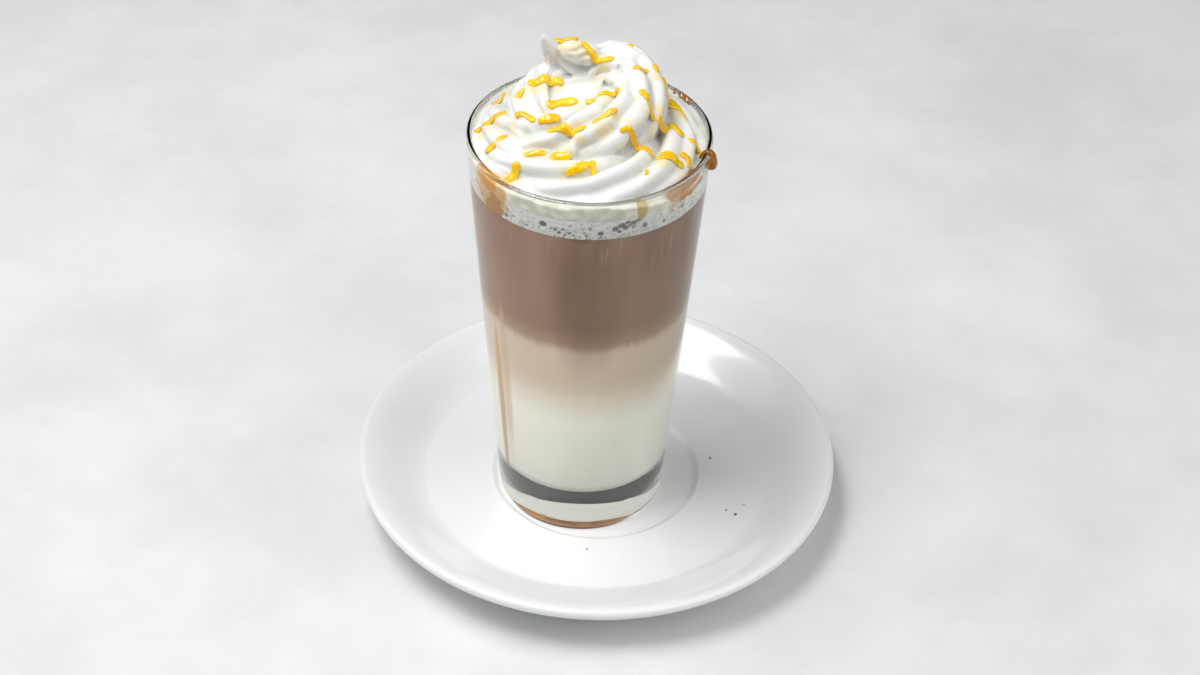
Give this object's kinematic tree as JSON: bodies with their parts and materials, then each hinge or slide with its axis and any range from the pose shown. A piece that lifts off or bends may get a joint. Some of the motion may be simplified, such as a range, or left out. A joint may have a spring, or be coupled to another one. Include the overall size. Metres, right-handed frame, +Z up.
{
  "type": "latte in a glass on a saucer",
  "caption": "Layered latte in a tall tapered tumbler with foam and a piped cream swirl above the rim, standing off-centre on a round china saucer.",
  "frame": {"origin": "centre of the saucer's foot ring, on the table", "axes": "+Z up along the saucer's axis, +Y to the back, +X to the right as the drink is shown"},
  "size_m": [0.16, 0.16, 0.175],
  "materials": {
    "china": "glossy white glaze",
    "clear_glass": "clear, polished",
    "milk": "opaque liquid behind glass",
    "milk_blend": "opaque liquid behind glass",
    "coffee": "opaque liquid behind glass",
    "foam": "fine bubbles",
    "cream": "soft whipped cream",
    "caramel": "glossy sauce"
  },
  "bodies": {
    "root": {"saucer": "china", "glass": "clear_glass", "milk": "milk", "milk_blend": "milk_blend", "coffee": "coffee", "foam": "foam", "cream": "cream"}
  },
  "joints": []
}
